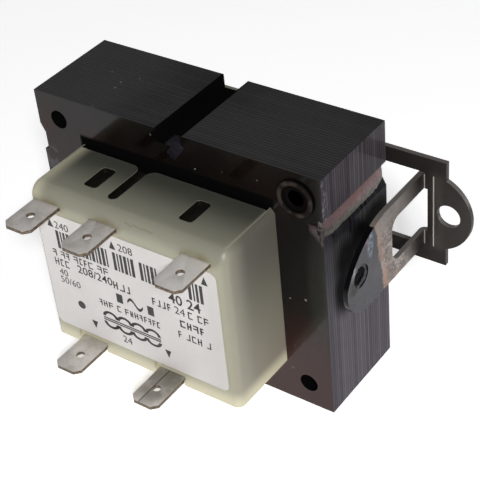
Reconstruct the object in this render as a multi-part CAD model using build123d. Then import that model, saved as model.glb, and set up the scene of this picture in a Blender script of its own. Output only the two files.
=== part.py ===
from build123d import *
import os

# Small chassis transformer that steps a control supply down to a low voltage.
# It stands on the yoke of its laminated core. X runs along the core, Y from the blades to the back,
# Z up. The origin is the centre of the core's bottom face. All lengths are millimetres.

# Laminated core, E and I sheets stacked along Y
outer_leg_width = 11.11
centre_leg_width = 22.22
window_width = 11.11
window_height = 33.33
yoke_height = 11.11
bar_height = 11.11
sheet_count = 31
sheet_thickness = 0.64
sheet_gap = 0.07
sheet_gap_depth = 0.15

# Notches and holes in the sheets
top_notch_width = 5.8
top_notch_depth = 3.0
weld_rabbet_depth = 1.0
weld_rabbet_above = 2.1
weld_rabbet_below = 2.7
weld_ramp_above = 3.4
weld_ramp_below = 3.2
weld_ramp_height = 1.9
core_hole_diameter = 4.0
core_hole_inset = 5.45

# Weld bead along each core end
bead_width = 2.8
bead_height = 0.6
bead_end_margin = 0.5
bead_rise_left = 0.0
bead_rise_right = 0.35
notch_dab_width = 2.6
notch_dab_height = 0.7
notch_dab_length = 3.4

# Eyelet in the upper right core hole
eyelet_flange_diameter = 7.9
eyelet_flange_thickness = 0.2
eyelet_rim_width = 1.3
eyelet_rim_height = 0.5
eyelet_wall = 0.45
eyelet_length = 7.0

# Bobbin with a chamber for each winding
bobbin_wall = 1.0
bobbin_fit = 0.25
flange_thickness = 1.0
flange_side_gap = 0.55
coil_overhang = 10.4
secondary_chamber_height = 14.0
flange_corner_radius = 2.0
rail_thickness = 1.5
rail_height = 6.8
rail_side_margin = 1.6

# Windings, their tape and the papers in the core windows
winding_margin = 1.0
winding_corner_radius = 3.0
tape_thickness = 0.25
liner_thickness = 0.3
liner_leg_gap = 0.05
wedge_width = 14.0

# Quick-connect blades
blade_width = 6.35
blade_thickness = 0.8
blade_reach = 9.1
blade_tip_chamfer = 1.2
blade_hole_diameter = 1.65
blade_hole_to_tip = 4.75
blade_leg_width = 2.4
blade_leg_overhang = 1.6
upper_blade_drop = 1.39
lower_blade_drop = 1.16
upper_left_inset = 2.97
upper_middle_x = -4.8
upper_right_inset = 5.07
lower_blade_x = (-13.0, 6.4)

# Leads from the windings to the blades, and the thermal fuse
lead_diameter = 0.6
lead_bend_radius = 0.6
lead_side_step = 2.4
fuse_diameter = 2.0
fuse_length = 8.0
fuse_tape_gap = 0.05
fuse_drop = 3.2

# Nylon covers over the coil
cover_wall = 1.2
cover_side_fit = 0.18
cover_low_room = 0.86
cover_high_room = 0.81
cover_front_room = 2.1
cover_top_edge_radius = 3.0
cover_side_edge_radius = 1.6
cover_top_setback = 1.1
cover_lip_width = 1.0
blade_slot_fit = 0.15
rear_cover_wall = 0.8
rear_cover_fit = 0.35
rear_cover_top_edge_radius = 1.8

# Openings in the roof of the front cover
vent_width = 3.2
vent_length = 6.5
vent_core_distance = 4.4
vent_corner_radius = 0.8
vent_x = (-11.7, 10.8)
slit_width = 2.2
slit_reach = 12.1
slit_x = -5.6
slit_mouth_radius = 2.0

# Recess above each lower blade
recess_width = 7.4
recess_height = 1.9
recess_depth = 0.8

# Label on the front cover
label_left_margin = 1.3
label_right_margin = 2.2
label_low_margin = 3.6
label_high_margin = 5.0
label_thickness = 0.12
label_corner_radius = 1.4

# Mounting bracket, one sheet with a tongue bent forward beside the core
steel_thickness = 1.0
bracket_drop = 6.14
tongue_width = 16.8
arm_width = 3.3
arm_cover_gap = 0.88
tongue_core_gap = 7.05
tongue_tip_reach = 5.3
web_width = 4.6
ear_radius = 8.4
ear_centre_from_bend = 1.4
ear_hole_diameter = 4.8
ear_hole_to_edge = 4.7
tongue_hole_to_tip = 4.5
tongue_window_height = 9.6
tongue_window_start = 10.1
window_end_radius = 2.5
window_into_web = 0.7
bend_outer_radius = 1.2
arm_end_radius = 0.8
tip_centre_drop = 0.6
top_shoulder_length = 15.3
low_shoulder_length = 7.3
top_shoulder_bulge = 0.15
low_shoulder_bulge = 0.26
bracket_weld_radius = 1.2
bracket_weld_height = 0.3
bracket_weld_spacing = 4.4

# Places that follow from the sizes above
core_half_width = outer_leg_width + window_width + centre_leg_width / 2
core_depth = sheet_count * sheet_thickness + (sheet_count - 1) * sheet_gap
core_front = -core_depth / 2
core_back = core_depth / 2
joint_z = yoke_height + window_height
core_top = joint_z + bar_height
window_outer_x = centre_leg_width / 2 + window_width

flange_half_x = window_outer_x - flange_side_gap
flange_half_y = core_depth / 2 + coil_overhang
flange_low_z = yoke_height + bobbin_fit
flange_high_z = joint_z - bobbin_fit
middle_flange_z = flange_low_z + flange_thickness + secondary_chamber_height
rail_front = -flange_half_y - rail_thickness
rail_low_top_z = flange_low_z + rail_height
rail_high_bottom_z = flange_high_z - rail_height
tube_half_x = centre_leg_width / 2 + bobbin_fit + bobbin_wall
tube_half_y = core_depth / 2 + bobbin_fit + bobbin_wall
winding_half_x = flange_half_x - winding_margin
winding_half_y = flange_half_y - winding_margin
tape_front = -winding_half_y - tape_thickness

leg_front = rail_front - blade_thickness

cover_width = 2 * (flange_half_x + cover_side_fit + cover_wall)
cover_bottom_z = flange_low_z - cover_low_room - cover_wall
cover_top_z = flange_high_z + cover_high_room + cover_wall
cover_front = leg_front - cover_front_room - cover_wall
front_cover_reach = core_front - cover_front
rear_cover_room = rear_cover_fit + rear_cover_wall
rear_cover_width = 2 * (flange_half_x + rear_cover_room)
rear_cover_bottom_z = flange_low_z - rear_cover_room
rear_cover_top_z = flange_high_z + rear_cover_room
rear_cover_reach = coil_overhang + rear_cover_room
label_bottom_z = cover_bottom_z + label_low_margin
label_top_z = cover_top_z - label_high_margin

blade_tip = cover_front - blade_reach
upper_blade_z = flange_high_z - upper_blade_drop
lower_blade_z = flange_low_z - lower_blade_drop
upper_blade_x = (upper_left_inset - flange_half_x, upper_middle_x, flange_half_x - upper_right_inset)
upper_leg_end_z = rail_high_bottom_z - blade_leg_overhang
lower_leg_end_z = rail_low_top_z + blade_leg_overhang
upper_lead_z = rail_high_bottom_z - blade_leg_overhang / 2
lower_lead_z = rail_low_top_z + blade_leg_overhang / 2

bracket_z = joint_z - bracket_drop
bend_x = core_half_width + tongue_core_gap + steel_thickness
web_right = bend_x + web_width
plate_front = core_back
plate_back = core_back + steel_thickness
arm_left = cover_width / 2 + arm_cover_gap
ear_x = bend_x + ear_centre_from_bend
ear_hole_x = ear_x + ear_radius - ear_hole_to_edge
tongue_tip = core_front - tongue_tip_reach
tongue_top_z = bracket_z + tongue_width / 2
tongue_low_z = bracket_z - tongue_width / 2

OVERCUT = 1.0
SMALL = 0.01


def block(x_from, x_to, y_from, y_to, z_from, z_to):
    """A box between two corners."""
    size = (x_to - x_from, y_to - y_from, z_to - z_from)
    centre = ((x_from + x_to) / 2, (y_from + y_to) / 2, (z_from + z_to) / 2)
    return Pos(*centre) * Box(*size)


def slab_along_y(face, y_from, y_to):
    """A face drawn in X and Z, given the thickness from y_from to y_to."""
    return Plane.XZ.offset(-y_to) * extrude(face, amount=y_to - y_from)


def slab_along_x(face, x_from, x_to):
    """A face drawn in Y and Z, given the thickness from x_from to x_to."""
    return Plane.YZ.offset(x_from) * extrude(face, amount=x_to - x_from)


def rod_along_y(x, z, radius, y_from, y_to):
    """A round bar or hole along Y."""
    return Pos(x, (y_from + y_to) / 2, z) * Rot(90, 0, 0) * Cylinder(radius, y_to - y_from)


def rod_along_x(y, z, radius, x_from, x_to):
    """A round bar or hole along X."""
    return Pos((x_from + x_to) / 2, y, z) * Rot(0, 90, 0) * Cylinder(radius, x_to - x_from)


def ring_wall(half_x, half_y, corner, inner_half_x, inner_half_y, z_from, z_to):
    """A rounded rectangular sleeve round the centre leg."""
    outside = RectangleRounded(2 * half_x, 2 * half_y, corner)
    inside = Rectangle(2 * inner_half_x, 2 * inner_half_y)
    return Pos(0, 0, z_from) * extrude(outside - inside, amount=z_to - z_from)


def e_sheet(inset):
    """Outline of an E sheet. The inset draws in its outer edges only."""
    side = core_half_width - inset
    groove = side - weld_rabbet_depth
    ramp_low = joint_z - weld_ramp_below
    step = joint_z - weld_rabbet_below
    window = [
        (window_outer_x, joint_z), (window_outer_x, yoke_height),
        (centre_leg_width / 2, yoke_height), (centre_leg_width / 2, joint_z),
    ]
    right = [(side, inset), (side, ramp_low), (groove, ramp_low + weld_ramp_height), (groove, joint_z)]
    left = [(-groove, joint_z), (-groove, step), (-side, step), (-side, inset)]
    across = [(-x, z) for x, z in reversed(window)]
    return make_face(Polyline(*right, *window, *across, *left, close=True))


def i_sheet(inset):
    """Outline of an I sheet, with the notch in the middle of its top edge."""
    side = core_half_width - inset
    groove = side - weld_rabbet_depth
    step = joint_z + weld_rabbet_above
    ramp_high = joint_z + weld_ramp_above
    top = core_top - inset
    notch = top_notch_width / 2 + inset
    floor = top - top_notch_depth
    return make_face(Polyline(
        (groove, joint_z), (groove, step), (side, step), (side, top), (notch, top), (notch, floor),
        (-notch, floor), (-notch, top), (-side, top), (-side, ramp_high),
        (-groove, ramp_high - weld_ramp_height), (-groove, joint_z), close=True,
    ))


def stack(sheet, hole_z):
    """The sheets of one stack, bonded by varnish, with the fine grooves between their edges."""
    pitch = sheet_thickness + sheet_gap
    bonded = slab_along_y(sheet(sheet_gap_depth), core_front, core_back)
    sheets = []
    for number in range(sheet_count):
        start = core_front + number * pitch
        sheets.append(slab_along_y(sheet(0), start, start + sheet_thickness))
    body = bonded + sheets
    hole_x = core_half_width - core_hole_inset
    for x in (-hole_x, hole_x):
        body -= rod_along_y(x, hole_z, core_hole_diameter / 2, core_front - OVERCUT, core_back + OVERCUT)
    return body


def bead_section(width, height):
    """The flat-bottomed cross-section of a weld bead."""
    low = (-width / 2, 0)
    high = (width / 2, 0)
    return make_face([ThreePointArc(low, (0, height), high), Line(high, low)])


def end_weld(side, rise):
    """The bead that joins the two stacks on one end of the core, lying in the rabbet."""
    section = bead_section(bead_width, bead_height)
    bead = slab_along_y(section, core_front + bead_end_margin, core_back - bead_end_margin)
    floor = core_half_width - weld_rabbet_depth
    return Pos(side * floor, 0, joint_z + rise) * Rot(0, side * 90, 0) * bead


def notch_weld():
    """A short dab of weld on the floor of the top notch, at the front."""
    section = bead_section(notch_dab_width, notch_dab_height)
    dab = slab_along_y(section, core_front, core_front + notch_dab_length)
    return Pos(0, 0, core_top - top_notch_depth) * dab


def hole_eyelet():
    """A hollow rivet with a rolled rim in the upper right core hole."""
    shank = core_hole_diameter / 2
    bore = shank - eyelet_wall
    rim_outer = eyelet_flange_diameter / 2
    rim_inner = rim_outer - eyelet_rim_width
    rim_middle = (rim_inner + rim_outer) / 2
    flange = eyelet_flange_thickness
    rim_crown = flange + eyelet_rim_height
    profile = make_face([
        Polyline(
            (rim_inner, flange), (bore, flange), (bore, -eyelet_length), (shank, -eyelet_length),
            (shank, 0), (rim_outer, 0), (rim_outer, flange),
        ),
        ThreePointArc((rim_outer, flange), (rim_middle, rim_crown), (rim_inner, flange)),
    ])
    turned = revolve(profile, Axis.Y)
    hole_x = core_half_width - core_hole_inset
    return Pos(hole_x, core_front, core_top - core_hole_inset) * Rot(180, 0, 0) * turned


def bobbin():
    """A square nylon spool on the centre leg, with three flanges and a rail for each row of blades."""
    inner_half_x = tube_half_x - bobbin_wall
    inner_half_y = tube_half_y - bobbin_wall
    inside = (inner_half_x, inner_half_y)
    body = ring_wall(tube_half_x, tube_half_y, bobbin_wall / 2, *inside, flange_low_z, flange_high_z)
    for z in (flange_low_z, middle_flange_z, flange_high_z - flange_thickness):
        z_to = z + flange_thickness
        body += ring_wall(flange_half_x, flange_half_y, flange_corner_radius, *inside, z, z_to)
    rail_half_x = flange_half_x - rail_side_margin
    rail_back = -flange_half_y + winding_margin / 2
    body += block(-rail_half_x, rail_half_x, rail_front, rail_back, flange_low_z, rail_low_top_z)
    body += block(-rail_half_x, rail_half_x, rail_front, rail_back, rail_high_bottom_z, flange_high_z)
    return body


def winding(z_from, z_to):
    """A winding of enamelled wire that fills one chamber of the bobbin."""
    return ring_wall(
        winding_half_x, winding_half_y, winding_corner_radius, tube_half_x, tube_half_y, z_from, z_to
    )


def tape_wrap(z_from, z_to):
    """The tape round one winding."""
    half_x = winding_half_x + tape_thickness
    half_y = winding_half_y + tape_thickness
    outside = RectangleRounded(2 * half_x, 2 * half_y, winding_corner_radius + tape_thickness)
    inside = RectangleRounded(2 * winding_half_x, 2 * winding_half_y, winding_corner_radius)
    return Pos(0, 0, z_from) * extrude(outside - inside, amount=z_to - z_from)


def window_liner(side):
    """Stiff insulating paper between the coil and one outer leg."""
    outer = window_outer_x - liner_leg_gap
    inner = outer - liner_thickness
    x_from, x_to = sorted((side * inner, side * outer))
    return block(x_from, x_to, core_front, core_back, flange_low_z, flange_high_z)


def leg_wedge():
    """A fibre wedge that takes up the play between the centre leg and the bobbin."""
    x_from = centre_leg_width / 2
    return block(
        x_from, x_from + bobbin_fit, -wedge_width / 2, wedge_width / 2, flange_low_z, flange_high_z
    )


def blade(x, z, leg_end_z):
    """A quick-connect blade bent at its root into a narrow leg on the bobbin's rail."""
    half_width = blade_width / 2
    z_from = z - blade_thickness / 2
    z_to = z + blade_thickness / 2
    outline = Polyline(
        (-half_width, leg_front), (half_width, leg_front), (half_width, blade_tip + blade_tip_chamfer),
        (half_width - blade_tip_chamfer, blade_tip), (-half_width + blade_tip_chamfer, blade_tip),
        (-half_width, blade_tip + blade_tip_chamfer), close=True,
    )
    plate = Pos(x, 0, z_from) * extrude(make_face(outline), amount=blade_thickness)
    hole = Pos(x, blade_tip + blade_hole_to_tip, z) * Cylinder(blade_hole_diameter / 2, 2 * blade_thickness)
    low, high = sorted((leg_end_z, z_to if leg_end_z < z else z_from))
    half_leg = blade_leg_width / 2
    leg = block(x - half_leg, x + half_leg, leg_front, rail_front, low, high)
    return plate - hole + leg


def lead(x, z, side):
    """A short lead that comes out of the tape and turns to the foot of a blade's leg."""
    middle_y = (tape_front + rail_front) / 2
    path = FilletPolyline(
        (x + side * lead_side_step, tape_front, z), (x + side * lead_side_step, middle_y, z),
        (x, middle_y, z), (x, rail_front, z), radius=lead_bend_radius,
    )
    start = Plane(origin=path @ 0, z_dir=path % 0)
    return sweep(start * Circle(lead_diameter / 2), path=path)


def thermal_fuse(x, z):
    """The fuse in series with one primary lead, lying on the tape with a wire at each end."""
    y = tape_front - fuse_tape_gap - fuse_diameter / 2
    body_z = z - fuse_drop
    body_from = x + lead_side_step
    body_to = body_from + fuse_length
    body = rod_along_x(y, body_z, fuse_diameter / 2, body_from, body_to)
    first = FilletPolyline(
        (body_from, y, body_z), (x, y, body_z), (x, y, z), (x, rail_front, z), radius=lead_bend_radius
    )
    tail_x = body_to + lead_side_step
    second = FilletPolyline(
        (body_to, y, body_z), (tail_x, y, body_z), (tail_x, tape_front, body_z), radius=lead_bend_radius
    )
    for path in (first, second):
        start = Plane(origin=path @ 0, z_dir=path % 0)
        body += sweep(start * Circle(lead_diameter / 2), path=path)
    return body


def cover_shell(width, z_from, z_to, reach, wall, crown_radius):
    """A nylon cap, drawn with its open side at Y = 0 and its face at Y = -reach."""
    middle_z = (z_from + z_to) / 2
    outside = Pos(0, -reach / 2, middle_z) * Box(width, reach, z_to - z_from)
    crown = outside.edges().filter_by(Axis.X).sort_by(Axis.Z)[-2:].sort_by(Axis.Y)[0]
    outside = fillet(crown, crown_radius)
    sides = outside.faces().filter_by(Axis.X)
    side_edges = [
        edge for side in sides for edge in side.edges()
        if edge.center().Y < -SMALL and edge.center().Z > z_from + SMALL
    ]
    outside = fillet(side_edges, cover_side_edge_radius)
    inner_length = reach - wall
    hollow = Box(width - 2 * wall, inner_length + OVERCUT, z_to - z_from - 2 * wall)
    inner_crown = hollow.edges().filter_by(Axis.X).sort_by(Axis.Z)[-2:].sort_by(Axis.Y)[0]
    hollow = fillet(inner_crown, crown_radius - wall)
    return outside - Pos(0, (OVERCUT - inner_length) / 2, middle_z) * hollow


def roof_edge_cut():
    """The set-back rear edge of the roof, with the slit that runs forward from its rounded mouth."""
    roof_edge = core_front - cover_top_setback
    left = cover_wall - cover_width / 2
    right = cover_width / 2 - cover_lip_width
    slit_left = slit_x - slit_width / 2
    slit_right = slit_x + slit_width / 2
    slit_round_y = core_front - slit_reach + slit_width / 2
    mouth_y = roof_edge - slit_mouth_radius
    turn = slit_mouth_radius * (1 - 0.5 ** 0.5)
    outline = make_face([
        Polyline(
            (slit_left - slit_mouth_radius, roof_edge), (left, roof_edge), (left, core_front + OVERCUT),
            (right, core_front + OVERCUT), (right, roof_edge), (slit_right + slit_mouth_radius, roof_edge),
        ),
        ThreePointArc(
            (slit_right + slit_mouth_radius, roof_edge), (slit_right + turn, roof_edge - turn),
            (slit_right, mouth_y),
        ),
        Line((slit_right, mouth_y), (slit_right, slit_round_y)),
        ThreePointArc(
            (slit_right, slit_round_y), (slit_x, core_front - slit_reach), (slit_left, slit_round_y),
        ),
        Line((slit_left, slit_round_y), (slit_left, mouth_y)),
        ThreePointArc(
            (slit_left, mouth_y), (slit_left - turn, roof_edge - turn),
            (slit_left - slit_mouth_radius, roof_edge),
        ),
    ])
    under_roof = cover_top_z - cover_wall - OVERCUT / 2
    return Pos(0, 0, under_roof) * extrude(outline, amount=cover_wall + OVERCUT)


def front_cover():
    """The cap over the front of the coil, with its roof openings and a passage for each blade."""
    shell = cover_shell(
        cover_width, cover_bottom_z, cover_top_z, front_cover_reach, cover_wall, cover_top_edge_radius
    )
    body = Pos(0, core_front, 0) * shell
    body -= roof_edge_cut()
    vent_y = core_front - vent_core_distance - vent_length / 2
    under_roof = cover_top_z - cover_wall - OVERCUT / 2
    for x in vent_x:
        opening = RectangleRounded(vent_width, vent_length, vent_corner_radius)
        body -= Pos(x, vent_y, under_roof) * extrude(opening, amount=cover_wall + OVERCUT)

    half_slot = blade_width / 2 + blade_slot_fit
    half_thickness = blade_thickness / 2 + blade_slot_fit
    slot_front = cover_front - OVERCUT
    for x in upper_blade_x:
        body -= block(
            x - half_slot, x + half_slot, slot_front, rail_front,
            upper_blade_z - half_thickness, upper_blade_z + half_thickness,
        )
    for x in lower_blade_x:
        recess_bottom = lower_blade_z + blade_thickness / 2
        body -= block(
            x - half_slot, x + half_slot, slot_front, rail_front,
            cover_bottom_z - OVERCUT, lower_blade_z + half_thickness,
        )
        body -= block(
            x - recess_width / 2, x + recess_width / 2, slot_front, cover_front + recess_depth,
            recess_bottom, recess_bottom + recess_height,
        )
    return body


def rear_cover():
    """The plain cap that fits closely over the back of the coil."""
    shell = cover_shell(
        rear_cover_width, rear_cover_bottom_z, rear_cover_top_z, rear_cover_reach, rear_cover_wall,
        rear_cover_top_edge_radius,
    )
    return Pos(0, core_back, 0) * Rot(0, 0, 180) * shell


def label():
    """The paper label on the face of the front cover."""
    left = label_left_margin - cover_width / 2
    right = cover_width / 2 - label_right_margin
    outline = RectangleRounded(right - left, label_top_z - label_bottom_z, label_corner_radius)
    middle = Pos((left + right) / 2, (label_bottom_z + label_top_z) / 2)
    return slab_along_y(middle * outline, cover_front - label_thickness, cover_front)


def bulged_arc(start, end, bulge):
    """An arc whose middle stands off its chord by a share of the chord's length."""
    run_a = end[0] - start[0]
    run_b = end[1] - start[1]
    middle = ((start[0] + end[0]) / 2 - bulge * run_b, (start[1] + end[1]) / 2 + bulge * run_a)
    return ThreePointArc(start, middle, end)


def bracket_plate():
    """The flat part behind the core: an arm above, an arm below, the web between them and the ear."""
    arm = Rectangle(web_right - arm_left, arm_width)
    arm = fillet(arm.vertices().sort_by(Axis.X)[:2], arm_end_radius)
    arm_x = (arm_left + web_right) / 2
    arm_offset = (tongue_width + arm_width) / 2
    web = Pos((bend_x + web_right) / 2, bracket_z) * Rectangle(web_width, tongue_width)
    ear = Pos(ear_x, bracket_z) * Circle(ear_radius)
    ear -= Pos(ear_x - ear_radius, bracket_z) * Rectangle(2 * (bend_x - ear_x + ear_radius), 2 * ear_radius)
    outline = Pos(arm_x, bracket_z + arm_offset) * arm + Pos(arm_x, bracket_z - arm_offset) * arm
    outline = outline + web + ear
    outline -= Pos(ear_hole_x, bracket_z) * Circle(ear_hole_diameter / 2)
    return slab_along_y(outline, plate_front, plate_back)


def bracket_tongue():
    """The tongue between the arms, bent forward beside the core's end face, with its rounded tip."""
    tip = (tongue_tip, bracket_z - tip_centre_drop)
    top_shoulder = (tongue_tip + top_shoulder_length, tongue_top_z)
    low_shoulder = (tongue_tip + low_shoulder_length, tongue_low_z)
    outline = make_face([
        Polyline(low_shoulder, (plate_back, tongue_low_z), (plate_back, tongue_top_z), top_shoulder),
        bulged_arc(tip, top_shoulder, top_shoulder_bulge),
        bulged_arc(low_shoulder, tip, low_shoulder_bulge),
    ])
    outline -= Pos(tongue_tip + tongue_hole_to_tip, bracket_z) * Circle(ear_hole_diameter / 2)
    return slab_along_x(outline, bend_x - steel_thickness, bend_x)


def bend_corner():
    """What the bend leaves out of the square corner between tongue and web."""
    outer_x = bend_x - steel_thickness
    middle = bend_outer_radius / 2
    corner = Pos(outer_x + middle, plate_back - middle) * Rectangle(bend_outer_radius, bend_outer_radius)
    corner -= Pos(outer_x + bend_outer_radius, plate_back - bend_outer_radius) * Circle(bend_outer_radius)
    return Pos(0, 0, tongue_low_z) * extrude(corner, amount=tongue_width)


def mounting_bracket():
    """One stamping: plate, tongue, and the window that runs from the tongue through the bend."""
    body = bracket_plate() + bracket_tongue() - bend_corner()
    window_from = core_front + tongue_window_start
    window_to = plate_back + OVERCUT + window_end_radius
    window = Pos((window_from + window_to) / 2, bracket_z) * RectangleRounded(
        window_to - window_from, tongue_window_height, window_end_radius
    )
    return body - slab_along_x(window, bend_x - steel_thickness - OVERCUT, bend_x + window_into_web)


def bracket_welds():
    """The four spot welds that hold the arms to the back of the core."""
    arm_offset = (tongue_width + arm_width) / 2
    first_x = arm_left + 2 * bracket_weld_radius
    weld_back = plate_back + bracket_weld_height
    welds = []
    for z in (bracket_z + arm_offset, bracket_z - arm_offset):
        for x in (first_x, first_x + bracket_weld_spacing):
            welds.append(rod_along_y(x, z, bracket_weld_radius, plate_back, weld_back))
    return Compound(children=welds)


secondary_low = flange_low_z + flange_thickness
primary_low = middle_flange_z + flange_thickness
primary_high = flange_high_z - flange_thickness
primary_left, primary_middle, primary_right = upper_blade_x
secondary_left, secondary_right = lower_blade_x

parts = {
    "core_e_stack": stack(e_sheet, core_hole_inset),
    "core_i_stack": stack(i_sheet, core_top - core_hole_inset),
    "core_weld_left": end_weld(-1, bead_rise_left),
    "core_weld_right": end_weld(1, bead_rise_right),
    "notch_weld": notch_weld(),
    "core_eyelet": hole_eyelet(),
    "bobbin": bobbin(),
    "primary_winding": winding(primary_low, primary_high),
    "secondary_winding": winding(secondary_low, middle_flange_z),
    "primary_tape": tape_wrap(primary_low, primary_high),
    "secondary_tape": tape_wrap(secondary_low, middle_flange_z),
    "window_liner_left": window_liner(-1),
    "window_liner_right": window_liner(1),
    "core_wedge": leg_wedge(),
    "primary_blade_left": blade(primary_left, upper_blade_z, upper_leg_end_z),
    "primary_blade_middle": blade(primary_middle, upper_blade_z, upper_leg_end_z),
    "primary_blade_right": blade(primary_right, upper_blade_z, upper_leg_end_z),
    "secondary_blade_left": blade(secondary_left, lower_blade_z, lower_leg_end_z),
    "secondary_blade_right": blade(secondary_right, lower_blade_z, lower_leg_end_z),
    "primary_lead_left": lead(primary_left, upper_lead_z, 1),
    "primary_lead_right": lead(primary_right, upper_lead_z, -1),
    "secondary_lead_left": lead(secondary_left, lower_lead_z, 1),
    "secondary_lead_right": lead(secondary_right, lower_lead_z, -1),
    "thermal_fuse": thermal_fuse(primary_middle, upper_lead_z),
    "front_cover": front_cover(),
    "rear_cover": rear_cover(),
    "label": label(),
    "mounting_bracket": mounting_bracket(),
    "bracket_welds": bracket_welds(),
}

os.makedirs("parts", exist_ok=True)
for name, shape in parts.items():
    export_step(shape, f"parts/{name}.step")
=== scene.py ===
import math
import random

import bmesh
import bpy
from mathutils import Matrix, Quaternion, Vector


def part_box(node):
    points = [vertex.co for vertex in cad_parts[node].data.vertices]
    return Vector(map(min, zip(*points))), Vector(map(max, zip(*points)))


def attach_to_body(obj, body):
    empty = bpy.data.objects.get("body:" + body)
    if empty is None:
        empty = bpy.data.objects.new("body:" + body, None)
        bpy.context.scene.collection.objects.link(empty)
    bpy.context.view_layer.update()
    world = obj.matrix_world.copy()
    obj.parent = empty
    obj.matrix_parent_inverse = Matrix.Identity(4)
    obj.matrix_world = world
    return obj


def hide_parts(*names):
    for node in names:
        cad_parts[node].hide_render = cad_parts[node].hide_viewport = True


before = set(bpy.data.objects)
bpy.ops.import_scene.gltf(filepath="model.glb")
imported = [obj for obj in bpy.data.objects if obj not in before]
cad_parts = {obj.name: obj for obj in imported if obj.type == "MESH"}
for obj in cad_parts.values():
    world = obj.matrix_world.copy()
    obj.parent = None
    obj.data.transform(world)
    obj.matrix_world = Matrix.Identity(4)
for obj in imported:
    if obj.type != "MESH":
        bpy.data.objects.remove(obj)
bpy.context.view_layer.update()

bpy.ops.object.select_all(action="DESELECT")
mm = 0.001


# The table and the white room.
# The transformer stands on a plain white sheet. The room above it is dim, so that its varnish
# shows little but the sheet, and one lamp stands close to the camera.
def attach(tree, made, wires):
    """Gives each named input of a node a plain value or another node's output."""
    for socket, value in wires.items():
        if isinstance(value, bpy.types.NodeSocket):
            tree.links.new(value, made.inputs[socket])
        else:
            made.inputs[socket].default_value = value


def node(tree, kind, wires=None, **settings):
    """Adds a node with its settings and its inputs."""
    made = tree.nodes.new(kind)
    for name, value in settings.items():
        setattr(made, name, value)
    attach(tree, made, wires or {})
    return made


bpy.context.scene.view_settings.view_transform = "Standard"
floor_size = 4.0
bpy.ops.mesh.primitive_plane_add(size=floor_size, location=(0, 0, 0))
floor = bpy.context.active_object
floor.name = "floor"
floor_paint = bpy.data.materials.new("floor_paint")
floor_paint.use_nodes = True
attach(floor_paint.node_tree, floor_paint.node_tree.nodes["Principled BSDF"], {
    "Base Color": (0.93, 0.93, 0.93, 1), "Roughness": 0.9, "Specular IOR Level": 0.1,
    "Emission Color": (1.0, 1.0, 1.0, 1), "Emission Strength": 0.47,
})
floor.data.materials.append(floor_paint)

room = bpy.data.worlds.new("white_room")
bpy.context.scene.world = room
room.use_nodes = True
room_nodes = room.node_tree
room_direction = node(room_nodes, "ShaderNodeTexCoord").outputs["Generated"]
room_height = node(room_nodes, "ShaderNodeSeparateXYZ", {0: room_direction}).outputs["Z"]
room_shade = node(room_nodes, "ShaderNodeValToRGB", {"Fac": room_height})
low_wall, high_wall = room_shade.color_ramp.elements
low_wall.position = 0.0
low_wall.color = (0.80, 0.80, 0.80, 1)
high_wall.position = 0.20
high_wall.color = (0.12, 0.12, 0.13, 1)
room_wires = {"Color": room_shade.outputs["Color"], "Strength": 1.0}
attach(room_nodes, room_nodes.nodes["Background"], room_wires)

lamp_aim = Vector((0.0, -0.01, 0.03))
lamps = (
    ("key_lamp", Vector((0.55, -0.555, 0.58)), 0.9, 0.12, 6.5),
    ("top_lamp", Vector((0.55, 0.25, 0.80)), 1.2, 0.70, 0.7),
    ("left_lamp", Vector((-0.85, -0.35, 0.40)), 1.2, 0.70, 0.4),
)
for lamp_name, lamp_side, lamp_distance, lamp_size, lamp_power in lamps:
    lamp_data = bpy.data.lights.new(lamp_name, "AREA")
    lamp_data.shape = "DISK"
    lamp_data.size = lamp_size
    lamp_data.energy = lamp_power
    lamp = bpy.data.objects.new(lamp_name, lamp_data)
    bpy.context.scene.collection.objects.link(lamp)
    lamp.location = lamp_aim + lamp_side.normalized() * lamp_distance
    lamp.rotation_mode = "QUATERNION"
    lamp.rotation_quaternion = (lamp_aim - lamp.location).to_track_quat("-Z", "Y")

# The camera, from the corners of the core in the photograph.
# It stands to the right, in front and above, with a long lens and a slight roll.
camera_forward = Vector((-0.49858, 0.62227, -0.60349))
camera_roll = -6.04
camera_data = bpy.data.cameras.new("camera")
camera_data.lens = 102.08
camera_data.sensor_width = 36.0
camera = bpy.data.objects.new("camera", camera_data)
bpy.context.scene.collection.objects.link(camera)
camera.rotation_mode = "QUATERNION"
camera.location = (0.14177, -0.17000, 0.19004)
level = camera_forward.to_track_quat("-Z", "Y")
camera.rotation_quaternion = level @ Quaternion((0, 0, 1), math.radians(camera_roll))
bpy.context.scene.camera = camera


# The laminated core.
# Thirty-one E sheets and thirty-one I sheets of silicon steel, stacked along Y, dipped in dark
# varnish and baked. The flat faces came out glossy, and the sheared edges show every sheet.
def finish(name):
    """A new material with its tree, its shader and its coordinates."""
    material = bpy.data.materials.new(name)
    material.use_nodes = True
    tree = material.node_tree
    return material, tree, tree.nodes["Principled BSDF"], node(tree, "ShaderNodeTexCoord").outputs


def tint(red, green, blue):
    """A colour given as it looks on the screen, from 0 to 255."""
    return tuple((value / 255) ** 2.2 for value in (red, green, blue)) + (1.0,)


def blend(tree, share, first, second):
    """The mix of two colours by a share."""
    return node(tree, "ShaderNodeMix", {0: share, 6: first, 7: second}, data_type="RGBA").outputs[2]


def between(tree, share, first, second):
    """The mix of two values by a share."""
    return node(tree, "ShaderNodeMix", {0: share, 2: first, 3: second}).outputs[0]


def sums(tree, operation, *values):
    """The result of a Math node."""
    return node(tree, "ShaderNodeMath", dict(enumerate(values)), operation=operation).outputs[0]


def times(tree, product, *others):
    """The product of several values."""
    for other in others:
        product = sums(tree, "MULTIPLY", product, other)
    return product


def highest(tree, highest_yet, *others):
    """The highest of several values."""
    for other in others:
        highest_yet = sums(tree, "MAXIMUM", highest_yet, other)
    return highest_yet


def rest(tree, value):
    """What a value from 0 to 1 leaves of 1."""
    return sums(tree, "SUBTRACT", 1.0, value)


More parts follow.
